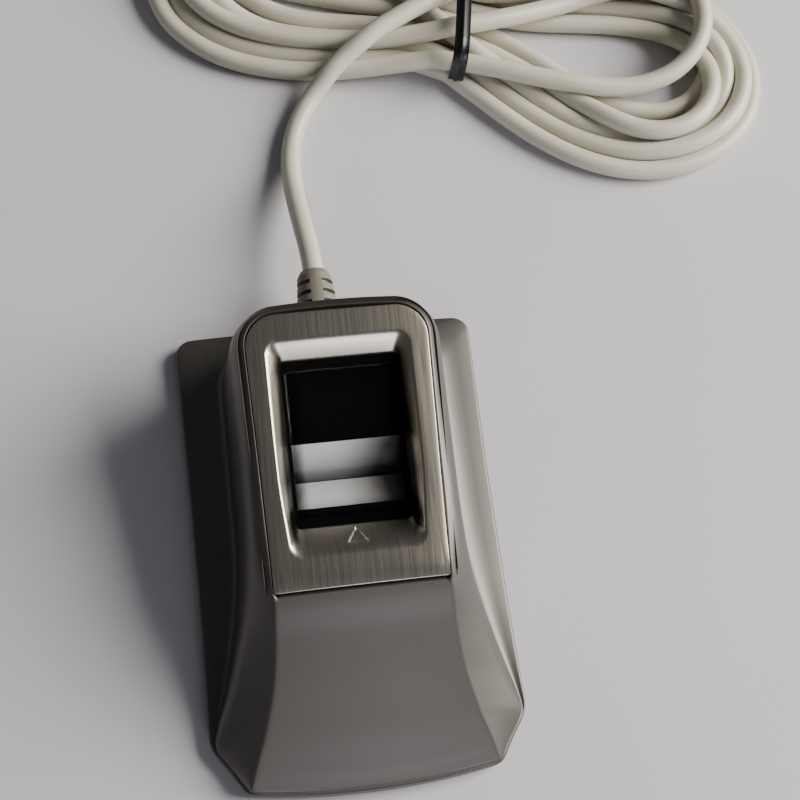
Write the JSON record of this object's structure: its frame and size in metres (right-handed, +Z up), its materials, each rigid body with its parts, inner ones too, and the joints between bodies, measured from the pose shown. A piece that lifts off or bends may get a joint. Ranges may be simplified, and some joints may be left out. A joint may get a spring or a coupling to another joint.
{
  "type": "fingerprint scanner",
  "caption": "Desktop optical fingerprint scanner with a recessed glass finger window, a sloping apron, side wings and a USB lead tied in a hank.",
  "frame": {"origin": "middle of the scanner's footprint, on the surface it stands on, measured without the lead", "axes": "+Z up; +Y towards the back, where the lead leaves; -Y towards the low front edge; +X to the user's right"},
  "size_m": [0.147, 0.2235, 0.0366],
  "materials": {
    "shell_paint": "satin metallic grey paint on moulded plastic",
    "brushed_bezel": "brushed, warm nickel",
    "base_plastic": "fine spark texture",
    "foot_rubber": "matt",
    "screw_steel": "zinc plated",
    "ballast_steel": "rolled steel",
    "prism_glass": "polished",
    "seal_rubber": "matt",
    "optics_plastic": "matt black",
    "diffuser_plastic": "opal",
    "board_laminate": "green solder mask",
    "led_resin": "clear resin",
    "lens_glass": "coated",
    "chip_resin": "moulded epoxy",
    "component_ceramic": "ceramic and tin",
    "header_nylon": "natural nylon",
    "wire_sleeve": "PVC sleeving",
    "label_film": "blank polyester film",
    "relief_pvc": "moulded flexible PVC",
    "cord_pvc": "satin extruded PVC",
    "tie_plastic": "plastic coated wire",
    "plug_pvc": "moulded PVC",
    "plug_nickel": "nickel plated",
    "plug_insulator": "moulded",
    "contact_gold": "gold flashed"
  },
  "bodies": {
    "root": {"upper_shell": "shell_paint", "bezel_frame": "brushed_bezel", "base_plate": "base_plastic", "rubber_feet": "foot_rubber", "base_screws": "screw_steel", "ballast_plate": "ballast_steel", "prism": "prism_glass", "prism_seal": "seal_rubber", "prism_holder": "optics_plastic", "light_diffuser": "diffuser_plastic", "led_board": "board_laminate", "leds": "led_resin", "lens_barrel": "optics_plastic", "lens_elements": "lens_glass", "sensor_bracket": "optics_plastic", "sensor_board": "board_laminate", "image_sensor": "chip_resin", "main_board": "board_laminate", "controller_chip": "chip_resin", "board_components": "component_ceramic", "board_screws": "screw_steel", "cable_header": "header_nylon", "inner_wires": "wire_sleeve", "cable_clamp": "optics_plastic", "rating_label": "label_film", "strain_relief": "relief_pvc", "cord_lead": "cord_pvc", "cord_hank": "cord_pvc", "cord_tail": "cord_pvc", "twist_tie": "tie_plastic", "plug_overmold": "plug_pvc", "plug_shell": "plug_nickel", "plug_tongue": "plug_insulator", "plug_contacts": "contact_gold"}
  },
  "joints": []
}
